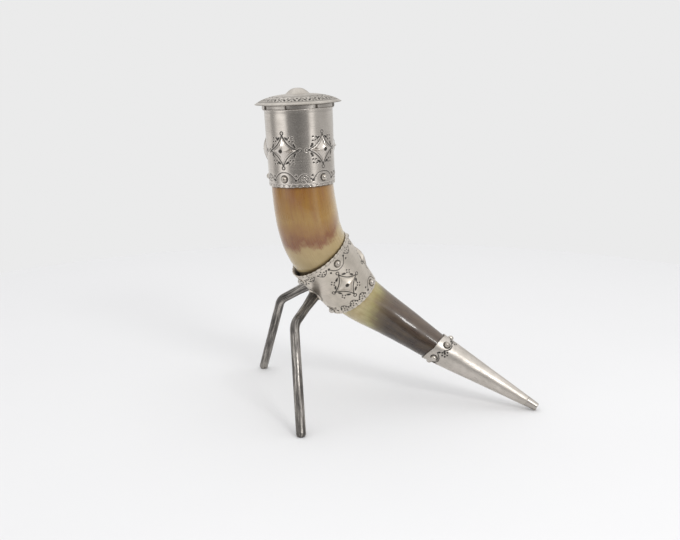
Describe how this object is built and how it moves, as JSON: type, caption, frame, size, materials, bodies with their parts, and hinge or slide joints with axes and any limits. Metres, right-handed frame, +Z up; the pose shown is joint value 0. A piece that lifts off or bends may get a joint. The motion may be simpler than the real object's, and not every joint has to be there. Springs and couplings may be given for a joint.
{
  "type": "lidded drinking horn",
  "caption": "Curved hollow horn vessel with metal mounts, standing on bent rod legs and its own tip, with a lift-off lid plugged into the mouth.",
  "frame": {"origin": "on the surface that the vessel stands on, at the centre of its bounding box's underside", "axes": "+Z up; +X from midway between the feet towards the horn's tip; -Y towards the front leg"},
  "size_m": [0.2686, 0.177, 0.2801],
  "materials": {
    "horn": "polished natural horn, amber and cream with dark streaks",
    "sleeve_metal": "satin white metal with dark patina in the chasing",
    "band_metal": "satin white metal with dark patina in the chasing",
    "ferrule_metal": "satin white metal",
    "lid_metal": "satin white metal, stamped, with dark patina",
    "nail_metal": "polished domed nail heads",
    "leg_metal": "dark rod with worn bright edges"
  },
  "bodies": {
    "horn": {"horn_shell": "horn", "mouth_sleeve": "sleeve_metal", "mouth_rim_wire": "sleeve_metal", "sleeve_diamond_bosses": "sleeve_metal", "sleeve_nails": "nail_metal", "middle_band": "band_metal", "band_diamond_bosses": "band_metal", "band_top_nails": "nail_metal", "band_bottom_nails": "nail_metal", "front_leg": "leg_metal", "rear_leg": "leg_metal", "front_leg_collar": "band_metal", "rear_leg_collar": "band_metal", "tip_ferrule": "ferrule_metal", "ferrule_nails": "nail_metal", "tip_cap": "ferrule_metal"},
    "lid": {"lid_plate": "lid_metal", "lid_boss": "lid_metal", "lid_collar": "lid_metal", "lid_seat_ring": "lid_metal"}
  },
  "joints": [
    {"name": "lid_lift", "type": "slide", "parent": "horn", "child": "lid", "axis": [-0.0454, 0, 0.999], "range_m": [0, 0.06]}
  ]
}
